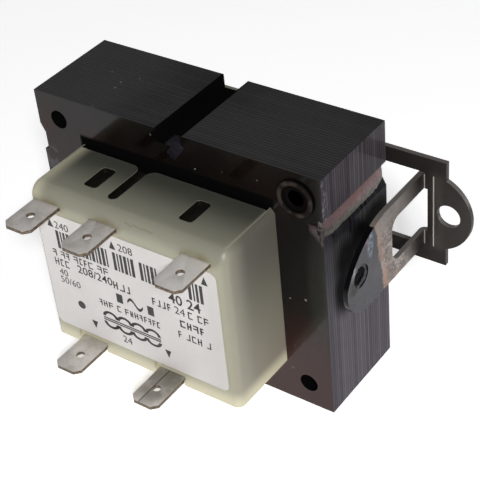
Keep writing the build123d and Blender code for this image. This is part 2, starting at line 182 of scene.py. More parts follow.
def away(tree, value, line=0.0):
    """How far a value is from a line, on either side."""
    return sums(tree, "ABSOLUTE", sums(tree, "SUBTRACT", value, line))


def wander(tree, value, cloud, amount):
    """A value that noise moves up and down by an amount in all."""
    return sums(tree, "MULTIPLY_ADD", sums(tree, "SUBTRACT", cloud, 0.5), amount, value)


def ramp(tree, value, low, high, start=0.0, end=1.0):
    """A value's stretch from low to high, turned smoothly into start to end."""
    wires = {0: value, 1: low, 2: high, 3: start, 4: end}
    return node(tree, "ShaderNodeMapRange", wires, interpolation_type="SMOOTHSTEP").outputs[0]


def noise(tree, place, scale, detail=3.0, stretch=None):
    """Cloudy noise from 0 to 1, stretched where a Mapping scale is given."""
    if stretch:
        place = node(tree, "ShaderNodeMapping", {0: place, "Scale": stretch}).outputs[0]
    wires = {"Vector": place, "Scale": scale, "Detail": detail}
    return node(tree, "ShaderNodeTexNoise", wires).outputs["Fac"]


def blotches(tree, place, scale, detail, low, high, start=0.0, end=1.0):
    """Cloudy noise, sharpened between two of its levels."""
    return ramp(tree, noise(tree, place, scale, detail), low, high, start, end)


def draw_for(tree, number):
    """A random value from 0 to 1 for each whole number."""
    return node(tree, "ShaderNodeTexWhiteNoise", {"W": number}, noise_dimensions="1D").outputs["Value"]


def split(tree, vector):
    """The three parts of a vector."""
    return node(tree, "ShaderNodeSeparateXYZ", {0: vector}).outputs


def relief(tree, shader, height, strength, distance):
    """Bumps the surface by a height map."""
    wires = {"Height": height, "Strength": strength, "Distance": distance}
    attach(tree, shader, {"Normal": node(tree, "ShaderNodeBump", wires).outputs["Normal"]})


def effect(name, inputs):
    """An empty node group for a mask that several finishes share."""
    group = bpy.data.node_groups.new(name, "ShaderNodeTree")
    for socket, kind in inputs.items():
        group.interface.new_socket(socket, in_out="INPUT", socket_type=kind)
    group.interface.new_socket("Mask", in_out="OUTPUT", socket_type="NodeSocketFloat")
    return group, group.nodes.new("NodeGroupInput").outputs, group.nodes.new("NodeGroupOutput")


specks, given, result = effect(
    "specks", {"Place": "NodeSocketVector", "Scale": "NodeSocketFloat", "Amount": "NodeSocketFloat"}
)
cells = node(specks, "ShaderNodeTexVoronoi", {"Vector": given["Place"], "Scale": given["Scale"]})
cell_draw = node(specks, "ShaderNodeSeparateColor", {0: cells.outputs["Color"]}).outputs
cell_kept = sums(specks, "LESS_THAN", cell_draw[0], given["Amount"])
cell_size = sums(specks, "MULTIPLY_ADD", cell_draw[1], 0.10, 0.05)
cell_near = sums(specks, "LESS_THAN", cells.outputs["Distance"], cell_size)
attach(specks, result, {"Mask": times(specks, cell_kept, cell_near)})

patch, given, result = effect(
    "patch", {"Place": "NodeSocketVector", "Centre": "NodeSocketVector", "Reach": "NodeSocketVector"}
)
offset = node(patch, "ShaderNodeVectorMath", {0: given["Place"], 1: given["Centre"]}, operation="SUBTRACT")
offset = node(patch, "ShaderNodeVectorMath", {0: offset.outputs[0], 1: given["Reach"]}, operation="DIVIDE")
offset = node(patch, "ShaderNodeVectorMath", {0: offset.outputs[0]}, operation="LENGTH")
attach(patch, result, {"Mask": ramp(patch, offset.outputs["Value"], 1.0, 0.35)})


def patch_at(tree, place, centre, reach):
    """A soft patch round a centre that ends at its reach, which is given in millimetres."""
    wires = {"Place": place, "Centre": centre, "Reach": Vector(reach) * mm}
    return node(tree, "ShaderNodeGroup", wires, node_tree=patch).outputs["Mask"]


def dress(material, *names):
    """Gives CAD nodes that stay as they are their finish."""
    for name in names:
        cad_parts[name].data.materials.clear()
        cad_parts[name].data.materials.append(material)


sheet_pitch = 0.71 * mm
core_low, core_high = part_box("core_e_stack")
core_front = core_low.y
core_half = core_high.x
joint_z = core_high.z
core_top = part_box("core_i_stack")[1].z
core_hole_low = 5.45 * mm
core_hole_x = core_half - core_hole_low
cap_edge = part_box("front_cover")[1]

core_varnish, tree, shader, place = finish("core_varnish")
spot = place["Object"]
where = split(tree, spot)
facing = split(tree, place["Normal"])
on_flat = sums(tree, "GREATER_THAN", away(tree, facing["Y"]), 0.5)
off_flat = rest(tree, on_flat)
on_top = sums(tree, "GREATER_THAN", away(tree, facing["Z"]), 0.5)
sheet_place = sums(tree, "DIVIDE", sums(tree, "SUBTRACT", where["Y"], core_front), sheet_pitch)
sheet_draw = draw_for(tree, sums(tree, "FLOOR", sheet_place))
streak = noise(tree, spot, 160.0, 4.0, (1.0, 30.0, 1.0))
cloud = noise(tree, spot, 45.0, 5.0)
grain = noise(tree, spot, 1500.0, 3.0)

# The flat faces: black, with a painted highlight at the right edge, a painted red-brown reflection at the
# upper left, and red-brown near the foot
cloud_share = ramp(tree, cloud, 0.42, 0.66)
black = blend(tree, cloud_share, (0.0026, 0.0020, 0.0016, 1), (0.0080, 0.0052, 0.0042, 1))
# Painted highlight: a soft light band down the right edge of the front face
right_painted_highlight = patch_at(tree, spot, (31.6 * mm, core_front, 28 * mm), (3.4, 4, 20))
black = blend(tree, times(tree, right_painted_highlight, 0.75), black, (0.014, 0.015, 0.013, 1))
# Painted reflection: a red-brown glow on the upper left of the front face
left_painted_reflection = patch_at(tree, spot, (-27 * mm, core_front, 42 * mm), (15, 4, 16))
left_painted_reflection = times(tree, left_painted_reflection, ramp(tree, cloud, 0.35, 0.60, 0.2, 1.0))
black = blend(tree, left_painted_reflection, black, (0.025, 0.0125, 0.0100, 1))
smudge = patch_at(tree, spot, (-32.0 * mm, core_front, 40.5 * mm), (3.0, 4, 5.5))
smudge = times(tree, smudge, blotches(tree, spot, 420.0, 3.0, 0.42, 0.60, 0.0, 0.8))
black = blend(tree, smudge, black, (0.060, 0.056, 0.066, 1))
low_red = ramp(tree, wander(tree, where["Z"], cloud, 26 * mm), 24 * mm, 12 * mm)
black = blend(tree, low_red, black, (0.026, 0.0068, 0.0065, 1))

# The top: charcoal, a little lighter where the varnish pooled on the left
cloud_share = ramp(tree, cloud, 0.35, 0.65)
charcoal = blend(tree, cloud_share, (0.028, 0.028, 0.0285, 1), (0.040, 0.0395, 0.040, 1))
charcoal = blend(tree, ramp(tree, sheet_draw, 0.3, 1.0, 0.0, 0.3), charcoal, (0.052, 0.051, 0.052, 1))
pooled = ramp(tree, where["X"], -6 * mm, -20 * mm, 0.0, 0.6)
charcoal = blend(tree, pooled, charcoal, (0.060, 0.0595, 0.060, 1))

# The ends: mauve sheets, crusted at the front corner, with a painted highlight on the first sheets, and
# painted shade and the tongue's painted shadow on the E stack beside the tongue
upper_sheets = blend(tree, sheet_draw, (0.036, 0.0315, 0.0365, 1), (0.070, 0.062, 0.070, 1))
lower_sheets = blend(tree, sheet_draw, (0.058, 0.053, 0.064, 1), (0.104, 0.094, 0.110, 1))
# Painted shade: the E stack's ends darken upwards, from the lit lower sheets to nearly black near the tongue
lower_painted_shade = blend(tree, sheet_draw, (0.0040, 0.0040, 0.0048, 1), (0.0180, 0.0175, 0.0210, 1))
lower_sheets = blend(tree, ramp(tree, where["Z"], 20 * mm, 36 * mm), lower_sheets, lower_painted_shade)
mauve = blend(tree, sums(tree, "LESS_THAN", where["Z"], joint_z), upper_sheets, lower_sheets)
mauve = blend(tree, ramp(tree, streak, 0.50, 0.75, 0.0, 0.4), mauve, (0.046, 0.039, 0.045, 1))
# Painted highlight: the first sheets at the front edge of each end are lighter
first_sheets_painted_highlight = ramp(tree, where["Y"], core_front + 4.5 * mm, core_front + 0.8 * mm, 0.0, 0.7)
mauve = blend(tree, first_sheets_painted_highlight, mauve, (0.050, 0.046, 0.056, 1))
crust = times(
    tree, ramp(tree, where["Y"], core_front + 2.4 * mm, core_front + 0.8 * mm, 0.0, 0.8),
    blotches(tree, spot, 850.0, 4.0, 0.46, 0.64), ramp(tree, where["Z"], 42 * mm, 45 * mm),
)
mauve = blend(tree, crust, mauve, (0.170, 0.150, 0.172, 1))
# Painted shadow: dark patches where the tongue's shadow falls on the right end, with the coat taken off there
tongue_shadow_places = (
    (6.5, 37.0, 7.0, 4.8), (1.0, 35.5, 6.5, 6.0), (-3.9, 33.5, 5.0, 7.5), (-5.4, 27.5, 4.2, 8.0),
    (0.2, 26.5, 4.5, 6.0),
)
tongue_painted_shadow = highest(tree, *(
    patch_at(tree, spot, (core_half, shadow_y * mm, shadow_z * mm), (3, reach_y, reach_z))
    for shadow_y, shadow_z, reach_y, reach_z in tongue_shadow_places
))
mauve = blend(tree, times(tree, tongue_painted_shadow, 0.92), mauve, (0.0022, 0.0022, 0.0025, 1))
colour = blend(tree, on_flat, blend(tree, on_top, mauve, charcoal), black)

# Painted shade: what lies deep is painted black and made dull, in the notch, the holes and the gap behind the
# cap's roof
notch_painted_shade = sums(tree, "LESS_THAN", away(tree, where["X"]), 3.2 * mm)
notch_painted_shade = times(tree, notch_painted_shade, sums(tree, "GREATER_THAN", where["Z"], core_top - 3.2 * mm), off_flat)
holes_painted_shade = [
    times(tree, ramp(tree, patch_at(tree, spot, (hole_x, 0, hole_z), (3, 40, 3)), 0.0, 0.1), off_flat)
    for hole_x in (-core_hole_x, core_hole_x)
    for hole_z in (core_hole_low, core_top - core_hole_low)
]
cap_gap_painted_shadow = times(
    tree, ramp(tree, away(tree, where["X"]), cap_edge.x + 0.1 * mm, cap_edge.x - 0.5 * mm),
    ramp(tree, where["Z"], cap_edge.z + 2.4 * mm, cap_edge.z + 1.5 * mm),
    sums(tree, "GREATER_THAN", where["Z"], cap_edge.z - 2 * mm), on_flat,
)
painted_shade_hollows = highest(tree, notch_painted_shade, cap_gap_painted_shadow, *holes_painted_shade)
colour = blend(tree, painted_shade_hollows, colour, (0.0030, 0.0029, 0.0029, 1))

# Dust and a few pale crumbs
dust_wires = {"Place": spot, "Scale": 330.0, "Amount": 0.03}
dust = node(tree, "ShaderNodeGroup", dust_wires, node_tree=specks).outputs["Mask"]
colour = blend(tree, times(tree, dust, 0.5), colour, (0.11, 0.105, 0.10, 1))
top_crumbs = ((-23.7, 1.6), (-19.5, -0.9), (-19.1, -3.0), (-16.8, 2.1), (-18.7, -10.5))
front_crumbs = (
    (5.4, 49.2), (12.0, 50.3), (19.5, 51.1), (-4.4, 53.8), (27.1, 35.1), (28.5, 26.9), (25.0, 25.9),
)
crumb_places = [(x * mm, y * mm, core_top) for x, y in top_crumbs]
crumb_places += [(x * mm, core_front, z * mm) for x, z in front_crumbs]
crumbs = highest(tree, *(patch_at(tree, spot, centre, (0.42, 0.42, 0.36)) for centre in crumb_places))
crumbs = times(tree, crumbs, blotches(tree, spot, 2400.0, 2.0, 0.46, 0.60))
colour = blend(tree, crumbs, colour, (0.20, 0.19, 0.175, 1))

rough_edges = sums(tree, "MULTIPLY_ADD", on_top, 0.12, 0.36)
rough_edges = sums(tree, "MULTIPLY_ADD", grain, 0.12, rough_edges)
rough_flat = sums(tree, "MULTIPLY_ADD", cloud, 0.20, 0.20)
open_varnish = times(
    tree, sums(tree, "MULTIPLY_ADD", on_flat, 0.57, 0.20), sums(tree, "MULTIPLY_ADD", left_painted_reflection, -0.30, 1.0),
    rest(tree, painted_shade_hollows), rest(tree, times(tree, tongue_painted_shadow, off_flat)),
)
attach(tree, shader, {
    "Base Color": colour,
    "Roughness": highest(tree, between(tree, on_flat, rough_edges, rough_flat), times(tree, painted_shade_hollows, 0.9)),
    "IOR": 1.05, "Coat Weight": open_varnish, "Coat Roughness": 0.12, "Coat IOR": 1.43,
})
relief(tree, shader, between(tree, on_flat, streak, noise(tree, spot, 120.0, 2.0)), 0.3, 0.06 * mm)
dress(core_varnish, "core_e_stack", "core_i_stack")


# The welds.
# Two beads run along the joint of the stacks, one on each end of the core, with a burnt, pink and
# olive skin. A short dab holds the notch and was dipped with the core.
def only(piece):
    """Selects one piece and makes it the active one."""
    bpy.ops.object.select_all(action="DESELECT")
    piece.select_set(True)
    bpy.context.view_layer.objects.active = piece


def settle(piece, slot, material, *replaced):
    """Puts a finished piece's place into its mesh, gives it its finish and fixes it to the object."""
    only(piece)
    bpy.ops.object.transform_apply(location=True, rotation=True, scale=True)
    piece.data.materials.clear()
    piece.data.materials.append(material)
    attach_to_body(piece, "root")
    for name in replaced:
        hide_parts(name)


def join(name, pieces):
    """Makes several pieces one, under one name."""
    only(pieces[0])
    for piece in pieces:
        piece.select_set(True)
    if len(pieces) > 1:
        bpy.ops.object.join()
    joined = bpy.context.active_object
    joined.name = name
    return joined


def modified(piece, kind, **settings):
    """Gives a piece a modifier with its settings and applies it."""
    only(piece)
    modifier = piece.modifiers.new(kind, kind)
    for name, value in settings.items():
        setattr(modifier, name, value)
    bpy.ops.object.modifier_apply(modifier=kind)


def roughened(piece, grain_size, strength):
    """Pushes a piece's surface in and out by a cloudy pattern."""
    bumps = bpy.data.textures.new(piece.name + "_bumps", "CLOUDS")
    bumps.noise_scale = grain_size
    bumps.noise_depth = 2
    modified(piece, "DISPLACE", texture=bumps, strength=strength, mid_level=0.5)
    bpy.ops.object.shade_smooth()


def pick(piece, kind, wanted):
    """Selects, in edit mode, the vertices, edges or faces of a piece that pass a test."""
    bpy.ops.mesh.select_mode(type=kind)
    bpy.ops.mesh.select_all(action="DESELECT")
    edit = bmesh.from_edit_mesh(piece.data)
    for part in {"VERT": edit.verts, "EDGE": edit.edges, "FACE": edit.faces}[kind]:
        part.select_set(wanted(part))
    bmesh.update_edit_mesh(piece.data)


def faces_up(face):
    """Whether a face points up."""
    return face.normal.z > 0.9


def weld_bead(name, size, rings, seed):
    """A bead along Y that bulges up: half a rod, cut into rings that each stand a little apart."""
    width, length, height = size
    bpy.ops.mesh.primitive_cylinder_add(vertices=32, radius=0.5, depth=1.0, rotation=(math.radians(90), 0, 0))
    bead = bpy.context.active_object
    bead.name = name
    bpy.ops.object.transform_apply(location=False, rotation=True, scale=False)
    bpy.ops.object.mode_set(mode="EDIT")
    bpy.ops.mesh.select_all(action="SELECT")
    bpy.ops.transform.resize(value=(width, length, 2 * height))
    bpy.ops.mesh.bisect(
        plane_co=(0, 0, 0), plane_no=(0, 0, 1), use_fill=True, clear_inner=True, threshold=1e-7,
    )
    pick(bead, "EDGE", lambda edge: abs(edge.verts[0].co.y - edge.verts[1].co.y) > 0.9 * length)
    bpy.ops.mesh.subdivide(number_cuts=rings - 1)
    draw = random.Random(seed)
    for number in range(rings + 1):
        ring_y = length * (number / rings - 0.5)
        end_fade = min(1.0, 0.45 + 4.0 * min(number, rings - number) / rings)
        swell = end_fade * (1.0 + 0.03 * math.sin(number * 1.57) + draw.uniform(-0.03, 0.03))
        pick(bead, "VERT", lambda vertex: abs(vertex.co.y - ring_y) < 0.3 * length / rings)
        bpy.ops.transform.resize(value=(0.5 + swell / 2, 1.0, swell), center_override=(0, ring_y, 0))
    bpy.ops.object.mode_set(mode="OBJECT")
    roughened(bead, 1.6 * mm, 0.22 * mm)
    return bead


def weld_drop(name, place, size, tilt):
    """A lump of weld metal: a sphere pressed to its size, tilted about Y and pushed out of round."""
    bpy.ops.mesh.primitive_ico_sphere_add(subdivisions=4, radius=0.5, location=place)
    drop = bpy.context.active_object
    drop.name = name
    drop.scale = size
    drop.rotation_euler = (0, math.radians(tilt), 0)
    bpy.ops.object.transform_apply(location=False, rotation=True, scale=True)
    roughened(drop, 0.5 * mm, 0.14 * mm)
    return drop


weld_metal, tree, shader, place = finish("weld_metal")
spot = place["Object"]
where = split(tree, spot)
scale_cloud = noise(tree, spot, 260.0, 5.0)
scale_grain = noise(tree, spot, 1400.0, 4.0)
weld_height = wander(tree, where["Z"], scale_cloud, 5 * mm)
pink = blend(tree, ramp(tree, scale_cloud, 0.38, 0.60), tint(90, 82, 84), tint(110, 86, 86))
burnt = blotches(tree, spot, 190.0, 3.0, 0.50, 0.62, 0.0, 0.6)
pink = blend(tree, burnt, pink, tint(118, 82, 80))
olive = blend(tree, ramp(tree, scale_grain, 0.40, 0.60), tint(96, 92, 84), tint(76, 72, 68))
colour = blend(tree, ramp(tree, weld_height, 44.6 * mm, 43.4 * mm), pink, olive)
colour = blend(tree, ramp(tree, scale_grain, 0.58, 0.74, 0.0, 0.5), colour, tint(134, 122, 116))
colour = blend(tree, ramp(tree, scale_cloud, 0.60, 0.70, 0.0, 0.6), colour, tint(56, 50, 52))
on_front = ramp(tree, where["Y"], core_front + 0.6 * mm, core_front - 0.1 * mm, 0.0, 0.85)
attach(tree, shader, {
    "Base Color": blend(tree, on_front, colour, tint(40, 34, 34)),
    "Roughness": ramp(tree, scale_grain, 0.3, 0.7, 0.38, 0.62), "Metallic": 0.15,
})
relief(tree, shader, scale_grain, 0.5, 0.08 * mm)

bead_low, bead_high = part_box("core_weld_right")
bead_size = (5.3 * mm, bead_high.y - bead_low.y, 0.84 * mm)
bead_rings = 64
right_bead_z = 43.75 * mm
right_bead = weld_bead("right_bead", bead_size, bead_rings, 3)
right_bead.rotation_euler = (0, math.radians(90), 0)
right_bead.location = (bead_low.x, 0, right_bead_z)

# At its front end the right bead ran out over the corner, in a hook round a small dark pit
curl_places = (
    (Vector((31.8, -11.0, 45.0)), Vector((3.4, 0.7, 0.8)), 6),
    (Vector((31.2, -11.0, 44.0)), Vector((1.6, 0.6, 2.4)), -38),
    (Vector((32.1, -11.0, 42.9)), Vector((1.1, 0.6, 2.2)), -32),
    (Vector((33.0, -10.9, 43.9)), Vector((0.9, 0.9, 3.0)), 2),
    (Vector((32.9, -11.0, 42.2)), Vector((0.8, 0.7, 2.0)), -8),
)
run_out = join("run_out", [
    weld_drop(f"run_out_{number}", centre * mm, size * mm, tilt)
    for number, (centre, size, tilt) in enumerate(curl_places)
])
modified(run_out, "REMESH", mode="VOXEL", voxel_size=0.08 * mm)
modified(run_out, "SMOOTH", iterations=6)
roughened(run_out, 0.4 * mm, 0.16 * mm)
settle(join("weld_right", [right_bead, run_out]), "weld", weld_metal, "core_weld_right")

bead_low, bead_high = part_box("core_weld_left")
left_bead = weld_bead("weld_left", bead_size, bead_rings, 8)
left_bead.rotation_euler = (0, math.radians(-90), 0)
left_bead.location = (bead_high.x, 0, (bead_low.z + bead_high.z) / 2)
settle(left_bead, "weld", weld_metal, "core_weld_left")

# The dab in the notch, with the lump that fills its right corner and runs down the front face
dab_low, dab_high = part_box("notch_weld")
dab = weld_bead("weld_notch", dab_high - dab_low, 14, 5)
dab.location = (0, (dab_low.y + dab_high.y) / 2, dab_low.z)
bpy.ops.mesh.primitive_cube_add(
    size=1.0, location=(1.3 * mm, core_front + 0.35 * mm, dab_low.z - 0.6 * mm),
    rotation=(0, math.radians(38), 0), scale=(2.3 * mm, 1.1 * mm, 4.4 * mm),
)
corner_lump = bpy.context.active_object
modified(corner_lump, "BEVEL", width=0.25 * mm, segments=3)
bpy.ops.object.shade_smooth_by_angle(angle=math.radians(50))

dipped_weld, tree, shader, place = finish("dipped_weld")
skin = blotches(tree, place["Object"], 900.0, 3.0, 0.40, 0.62)
skin = blend(tree, skin, tint(32, 31, 36), tint(40, 38, 43))
attach(tree, shader, {"Base Color": skin, "Roughness": 0.5, "IOR": 1.1})
settle(join("weld_notch", [dab, corner_lump]), "weld", dipped_weld, "notch_weld")

spots_low, spots_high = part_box("bracket_welds")
spot_radius = 1.2 * mm
spot_marks = []
for spot_x in (spots_low.x + spot_radius, spots_high.x - spot_radius):
    for spot_z in (spots_low.z + spot_radius, spots_high.z - spot_radius):
        bpy.ops.mesh.primitive_cylinder_add(vertices=48, radius=spot_radius, depth=spots_high.y - spots_low.y)
        mark = bpy.context.active_object
        mark.rotation_euler = (math.radians(-90), 0, 0)
        mark.location = (spot_x, (spots_low.y + spots_high.y) / 2, spot_z)
        bpy.ops.object.mode_set(mode="EDIT")
        pick(mark, "FACE", faces_up)
        for step, depth in ((0.25, 0.0), (0.30, -0.18), (0.35, 0.04)):
            bpy.ops.mesh.inset(thickness=step * mm, depth=depth * mm)
        bpy.ops.object.mode_set(mode="OBJECT")
        bpy.ops.object.shade_smooth_by_angle(angle=math.radians(50))
        spot_marks.append(mark)
settle(join("spot_welds", spot_marks), "weld", weld_metal, "bracket_welds")

# The eyelet.
# A hollow steel rivet sits in the upper right hole of the core, with its rim rolled back. It was
# dipped with the core, and its crown is rubbed bare in places.
ring_low, ring_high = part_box("core_eyelet")
ring_centre = (ring_low + ring_high) / 2
ring_radius = (ring_high.x - ring_low.x) / 2
ring_proud = core_front - ring_low.y
rim_radius = 0.62 * mm
bore_radius = 1.55 * mm
shank_wall = 0.45 * mm
flange_radius = ring_radius - 0.5 * mm
bpy.ops.mesh.primitive_torus_add(
    major_segments=96, minor_segments=20, major_radius=ring_radius - rim_radius, minor_radius=rim_radius,
)
rim = bpy.context.active_object
rim.scale = (1.0, 1.0, (ring_proud - 0.05 * mm) / (2 * rim_radius))
rim.location = (0, 0, ring_proud / 2)
bpy.ops.object.transform_apply(location=True, rotation=True, scale=True)
roughened(rim, 1.6 * mm, 0.12 * mm)
bpy.ops.mesh.primitive_cylinder_add(
    vertices=96, radius=flange_radius, depth=0.22 * mm, location=(0, 0, 0.11 * mm)
)
flange = bpy.context.active_object
bpy.ops.object.mode_set(mode="EDIT")
pick(flange, "FACE", faces_up)
bpy.ops.mesh.inset(thickness=flange_radius - bore_radius - 0.5 * mm)
bpy.ops.mesh.inset(thickness=0.35 * mm, depth=-0.12 * mm)
bpy.ops.mesh.inset(thickness=0.15 * mm, depth=-0.25 * mm)
bpy.ops.mesh.extrude_region_move(TRANSFORM_OT_translate={"value": (0, 0, -6.0 * mm)})
bpy.ops.object.mode_set(mode="OBJECT")
bpy.ops.object.shade_smooth_by_angle(angle=math.radians(50))
bpy.ops.mesh.primitive_cylinder_add(
    vertices=48, radius=bore_radius + shank_wall - 0.03 * mm, depth=6.8 * mm, location=(0, 0, -3.4 * mm)
)
shank = bpy.context.active_object
bpy.ops.object.shade_smooth_by_angle(angle=math.radians(50))

eyelet_varnish, tree, shader, place = finish("eyelet_varnish")
spot = place["Object"]
depth_in = split(tree, spot)["Y"]
rub = noise(tree, spot, 500.0, 4.0)
crown = ramp(tree, depth_in, core_front - 0.45 * mm, core_front - 0.68 * mm)
bare = times(tree, crown, ramp(tree, rub, 0.44, 0.60, 0.2, 0.9))
colour = blend(tree, bare, tint(15, 13, 12), tint(60, 53, 49))
# Painted light: the inside of the bore is painted lighter, standing in for its lit inner wall
bore_painted_light = ramp(tree, depth_in, core_front + 0.1 * mm, core_front + 0.7 * mm)
attach(tree, shader, {
    "Base Color": blend(tree, bore_painted_light, colour, tint(84, 84, 84)),
    "Roughness": ramp(tree, rub, 0.3, 0.7, 0.55, 0.75), "IOR": 1.12,
})
relief(tree, shader, rub, 0.4, 0.08 * mm)
eyelet = join("eyelet", [rim, flange, shank])
eyelet.rotation_euler = (math.radians(90), 0, 0)
eyelet.location = (ring_centre.x, core_front, ring_centre.z)
settle(eyelet, "eyelet_steel", eyelet_varnish, "core_eyelet")


# The coil.
# A natural nylon bobbin carries two windings of enamelled copper, each under tape, with its leads
# and a thermal fuse. All of it was soaked with the core and is dark under the covers.
def rounded_copy(node_name, name, edge_round):
    """A copy of a CAD node, merged into clean faces, with small rounds on its sharp edges."""
    piece = bpy.data.objects.new(name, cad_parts[node_name].data.copy())
    bpy.context.scene.collection.objects.link(piece)
    only(piece)
    bpy.ops.object.mode_set(mode="EDIT")
    bpy.ops.mesh.select_mode(type="VERT")
    bpy.ops.mesh.select_all(action="SELECT")
    bpy.ops.mesh.remove_doubles(threshold=0.002 * mm)
    bpy.ops.mesh.dissolve_limited(angle_limit=math.radians(0.5))
    bpy.ops.object.mode_set(mode="OBJECT")
    modified(
        piece, "BEVEL", width=edge_round, segments=3, limit_method="ANGLE", angle_limit=math.radians(32),
        use_clamp_overlap=True,
    )
    bpy.ops.object.shade_smooth_by_angle(angle=math.radians(30))
    modified(piece, "WEIGHTED_NORMAL", keep_sharp=True)
    return piece


bobbin_nylon, tree, shader, place = finish("bobbin_nylon")
soak = noise(tree, place["Object"], 220.0, 4.0)
attach(tree, shader, {
    "Base Color": blend(tree, ramp(tree, soak, 0.35, 0.65), tint(36, 32, 26), tint(20, 18, 15)),
    "Roughness": ramp(tree, soak, 0.3, 0.7, 0.35, 0.55),
})
relief(tree, shader, soak, 0.2, 0.05 * mm)
settle(rounded_copy("bobbin", "coil_bobbin", 0.15 * mm), "bobbin_nylon", bobbin_nylon, "bobbin")

wire_pitch = 0.35 * mm
wire_enamel, tree, shader, place = finish("wire_enamel")
turn = sums(tree, "DIVIDE", split(tree, place["Object"])["Z"], wire_pitch)
turn_crown_and_groove_shade = away(tree, sums(tree, "SINE", times(tree, turn, math.pi)))
turn_draw = draw_for(tree, sums(tree, "FLOOR", turn))
colour = blend(tree, turn_draw, tint(122, 60, 34), tint(150, 84, 46))
# Painted shade: each turn darkens towards the groove between it and the next
colour = blend(tree, turn_crown_and_groove_shade, tint(40, 20, 12), colour)
attach(tree, shader, {"Base Color": colour, "Metallic": 0.6, "Roughness": 0.3})
relief(tree, shader, turn_crown_and_groove_shade, 0.8, 0.08 * mm)
dress(
    wire_enamel, "primary_winding", "secondary_winding", "primary_lead_left", "primary_lead_right",
    "secondary_lead_left", "secondary_lead_right",
)

tape_pitch = 5.5 * mm
coil_tape, tree, shader, place = finish("coil_tape")
tape_turn = sums(tree, "DIVIDE", split(tree, place["Object"])["Z"], tape_pitch)
wrap_step = ramp(tree, sums(tree, "FRACT", tape_turn), 0.0, 0.06)
soak = noise(tree, place["Object"], 260.0, 4.0)
attach(tree, shader, {
    "Base Color": blend(tree, ramp(tree, soak, 0.35, 0.65), tint(52, 42, 30), tint(30, 24, 20)),
    "Roughness": ramp(tree, soak, 0.3, 0.7, 0.25, 0.45),
})
relief(tree, shader, sums(tree, "MULTIPLY_ADD", soak, 0.4, wrap_step), 0.6, 0.08 * mm)
dress(coil_tape, "primary_tape", "secondary_tape")

fibre_paper, tree, shader, place = finish("fibre_paper")
fibres = noise(tree, place["Object"], 900.0, 5.0, (1.0, 1.0, 0.2))
colour = blend(tree, ramp(tree, fibres, 0.35, 0.65), tint(88, 68, 46), tint(120, 98, 68))
attach(tree, shader, {"Base Color": colour, "Roughness": 0.7})
relief(tree, shader, fibres, 0.4, 0.05 * mm)
dress(fibre_paper, "window_liner_left", "window_liner_right", "core_wedge")

fuse_can, tree, shader, place = finish("fuse_can")
wear = noise(tree, place["Object"], 700.0, 4.0)
attach(tree, shader, {
    "Base Color": blend(tree, ramp(tree, wear, 0.45, 0.65), tint(150, 138, 118), tint(96, 84, 70)),
    "Metallic": 0.7, "Roughness": ramp(tree, wear, 0.3, 0.7, 0.3, 0.5),
})
dress(fuse_can, "thermal_fuse")

# The covers.
# Two caps of natural nylon clip over the coil. They are milky and let light through, and this light is
# painted into their colour:
# cream at their rims and grey-olive where the dark coil and core stand behind them.
cover_low, cover_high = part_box("front_cover")
cover_front = cover_low.y

cover_nylon, tree, shader, place = finish("cover_nylon")
spot = place["Object"]
where = split(tree, spot)
facing = split(tree, place["Normal"])
sideways = away(tree, where["X"])
outward = away(tree, where["Y"])
roof_rear_painted_shade = tint(68, 68, 62)
roof_front = tint(138, 137, 121)
face_cream = tint(151, 148, 128)
rim_painted_light = tint(196, 190, 163)

# The roof, the walls and the foot, with light and shade painted in: the roof darker towards the rear, the
# walls lighter lower down, towards the front and on the left, and a bright foot
roof_depth = ramp(tree, outward, -cover_front - 13.5 * mm, -cover_front - 0.5 * mm)
roof = blend(tree, roof_depth, roof_rear_painted_shade, roof_front)
roof = blend(tree, ramp(tree, where["X"], -18.5 * mm, -22.6 * mm, 0.0, 0.8), roof, rim_painted_light)
wall_low_painted_light = ramp(tree, where["Z"], cover_high.z - 4 * mm, cover_low.z + 5 * mm)
wall = blend(tree, wall_low_painted_light, tint(90, 88, 79), tint(128, 123, 109))
wall_front_painted_light = ramp(tree, outward, -cover_front - 7 * mm, -cover_front - 1 * mm, 0.0, 0.7)
wall = blend(tree, wall_front_painted_light, wall, tint(146, 142, 125))
wall = blend(tree, ramp(tree, where["X"], 0.0, -20 * mm, 0.0, 0.6), wall, rim_painted_light)
on_side = ramp(tree, sideways, cover_high.x - 1.7 * mm, cover_high.x - 0.3 * mm)
upward = ramp(tree, where["Z"], cover_high.z - 4.4 * mm, cover_high.z - 1.6 * mm)
colour = blend(tree, on_side, blend(tree, upward, face_cream, roof), wall)
foot = ramp(tree, where["Z"], cover_low.z + 4.2 * mm, cover_low.z + 0.6 * mm)
colour = blend(tree, foot, colour, rim_painted_light)

# The cut edges of the roof: a painted highlight on the rounded top edges, and painted shade on the walls down
# in the vents and the slit
edge_painted_highlight = times(
    tree, ramp(tree, facing["Z"], 0.98, 0.85), ramp(tree, facing["Z"], 0.15, 0.35),
    sums(tree, "GREATER_THAN", where["Z"], cover_high.z - 0.2 * mm), 0.6,
)
colour = blend(tree, edge_painted_highlight, colour, tint(168, 166, 146))
vent_wall_painted_shade = times(
    tree, sums(tree, "LESS_THAN", away(tree, facing["Z"]), 0.2),
    sums(tree, "GREATER_THAN", where["Z"], cover_high.z - 1.3 * mm),
    sums(tree, "LESS_THAN", sideways, cover_high.x - 1.1 * mm),
    sums(tree, "GREATER_THAN", where["Y"], cover_front + 3.3 * mm),
    sums(tree, "LESS_THAN", where["Y"], 0.0),
)
colour = blend(tree, vent_wall_painted_shade, colour, tint(24, 24, 20))

